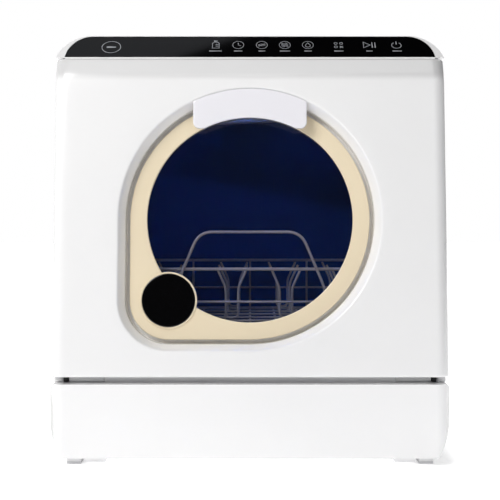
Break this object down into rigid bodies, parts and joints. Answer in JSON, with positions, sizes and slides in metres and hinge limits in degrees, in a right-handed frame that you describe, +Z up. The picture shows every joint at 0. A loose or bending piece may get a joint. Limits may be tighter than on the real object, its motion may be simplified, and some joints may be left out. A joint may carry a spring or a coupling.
{
  "type": "countertop dishwasher",
  "caption": "Compact countertop dishwasher with a drop-down door, round window, flush handle, sloping touch panel, pull-out wire basket, spray arms, pumps and water tank.",
  "frame": {"origin": "on the worktop under the middle of the machine, at the middle of the bounding box's bottom face", "axes": "+Z up, the front with the door looks along -Y, +X is to the right as seen from the front"},
  "size_m": [0.42, 0.42, 0.46],
  "materials": {
    "black_gloss": "piano black",
    "black_plastic": "matt black nylon",
    "blue_plastic": "blue valve body",
    "board": "green circuit board",
    "bright_steel": "zinc plated steel",
    "clear_plastic": "translucent polypropylene",
    "coated_wire": "grey nylon coated wire",
    "cream_plastic": "satin cream ABS",
    "dark_liner": "satin dark blue polypropylene",
    "grey_plastic": "satin grey polypropylene",
    "lamp": "frosted lens of the blue-white lamp",
    "lilac_plastic": "glossy white ABS, faintly lavender",
    "pale_plastic": "satin pale grey polypropylene",
    "rubber": "moulded rubber",
    "steel": "brushed stainless steel",
    "tinted_glass": "dark blue tinted window glass",
    "white_plastic": "glossy white ABS"
  },
  "bodies": {
    "casing": {"base_housing": "white_plastic", "rubber_feet": "rubber", "side_panel_left": "white_plastic", "side_panel_right": "white_plastic", "rear_panel": "white_plastic", "top_cover": "white_plastic", "control_glass": "black_gloss", "control_board": "board", "casing_screws": "bright_steel", "tub": "dark_liner", "tub_frame": "white_plastic", "door_gasket": "rubber", "sump": "grey_plastic", "filter_plate": "steel", "wash_pump_housing": "grey_plastic", "wash_pump_motor": "bright_steel", "heater_element": "steel", "drain_pump_body": "grey_plastic", "drain_hose": "rubber", "water_tank": "clear_plastic", "tank_hose": "rubber", "inlet_valve": "blue_plastic", "upper_feed_pipe": "grey_plastic", "basket_rails": "steel", "fan_housing": "black_plastic", "vent_grille": "white_plastic", "chamber_lamp": "lamp", "door_lock": "pale_plastic", "hinge_brackets": "black_plastic", "hinge_covers": "white_plastic", "fill_funnel": "white_plastic", "inlet_connector": "pale_plastic", "drain_spigot": "grey_plastic", "cord_gland": "black_plastic"},
    "door": {"door_shell": "white_plastic", "door_trim": "cream_plastic", "window_glass": "tinted_glass", "window_seal": "rubber", "door_liner": "pale_plastic", "door_handle": "lilac_plastic", "badge_disc": "black_gloss", "detergent_cup": "pale_plastic", "door_strike": "bright_steel", "hinge_pins": "bright_steel", "door_screws": "bright_steel"},
    "basket": {"basket_floor": "coated_wire", "basket_front": "coated_wire", "basket_rear": "coated_wire", "basket_sides": "coated_wire", "basket_tines": "coated_wire", "basket_glides": "grey_plastic"},
    "detergent_lid": {"detergent_lid": "grey_plastic"},
    "lower_spray_arm": {"lower_spray_arm": "pale_plastic"},
    "upper_spray_arm": {"upper_spray_arm": "pale_plastic"},
    "filter_cup": {"filter_cup": "pale_plastic"},
    "wash_pump_impeller": {"wash_pump_impeller": "pale_plastic"},
    "drain_pump_impeller": {"drain_pump_impeller": "pale_plastic"},
    "fan_impeller": {"fan_impeller": "pale_plastic"},
    "lock_bolt": {"lock_bolt": "bright_steel"},
    "fill_lid": {"fill_lid": "white_plastic"}
  },
  "joints": [
    {"name": "door_hinge", "type": "hinge", "parent": "casing", "child": "door", "pos_m": [0, -0.2, 0.098], "axis": [1, 0, 0], "range_deg": [0, 95]},
    {"name": "basket_slide", "type": "slide", "parent": "casing", "child": "basket", "axis": [0, -1, 0], "range_m": [0, 0.085]},
    {"name": "detergent_lid_slide", "type": "slide", "parent": "door", "child": "detergent_lid", "axis": [0, 0.0872, 0.9962], "range_m": [0, 0.03]},
    {"name": "lower_spray_arm_spin", "type": "hinge", "parent": "casing", "child": "lower_spray_arm", "pos_m": [0, -0.009, 0.12], "axis": [0, 0, 1], "continuous": true},
    {"name": "upper_spray_arm_spin", "type": "hinge", "parent": "casing", "child": "upper_spray_arm", "pos_m": [0, -0.009, 0.38], "axis": [0, 0, 1], "continuous": true},
    {"name": "filter_cup_twist", "type": "hinge", "parent": "casing", "child": "filter_cup", "pos_m": [0.09, -0.009, 0.1], "axis": [0, 0, 1], "range_deg": [0, 45]},
    {"name": "wash_pump_spin", "type": "hinge", "parent": "casing", "child": "wash_pump_impeller", "pos_m": [0, -0.009, 0.06], "axis": [1, 0, 0], "continuous": true},
    {"name": "drain_pump_spin", "type": "hinge", "parent": "casing", "child": "drain_pump_impeller", "pos_m": [0.09, 0.06, 0.072], "axis": [0, 1, 0], "continuous": true},
    {"name": "fan_spin", "type": "hinge", "parent": "casing", "child": "fan_impeller", "pos_m": [0.148, 0.15, 0.33], "axis": [0, 1, 0], "continuous": true},
    {"name": "lock_bolt_slide", "type": "slide", "parent": "casing", "child": "lock_bolt", "axis": [0, 0, -1], "range_m": [0, 0.0055], "stiffness_N_per_m": 300, "springref_m": -0.001},
    {"name": "fill_lid_hinge", "type": "hinge", "parent": "casing", "child": "fill_lid", "pos_m": [-0.1, 0.184, 0.4582], "axis": [-1, 0, 0], "range_deg": [0, 95]}
  ],
  "couplings": [
    {"joint": "basket_slide", "follows": "door_hinge", "m_per_rad": 0.05}
  ]
}
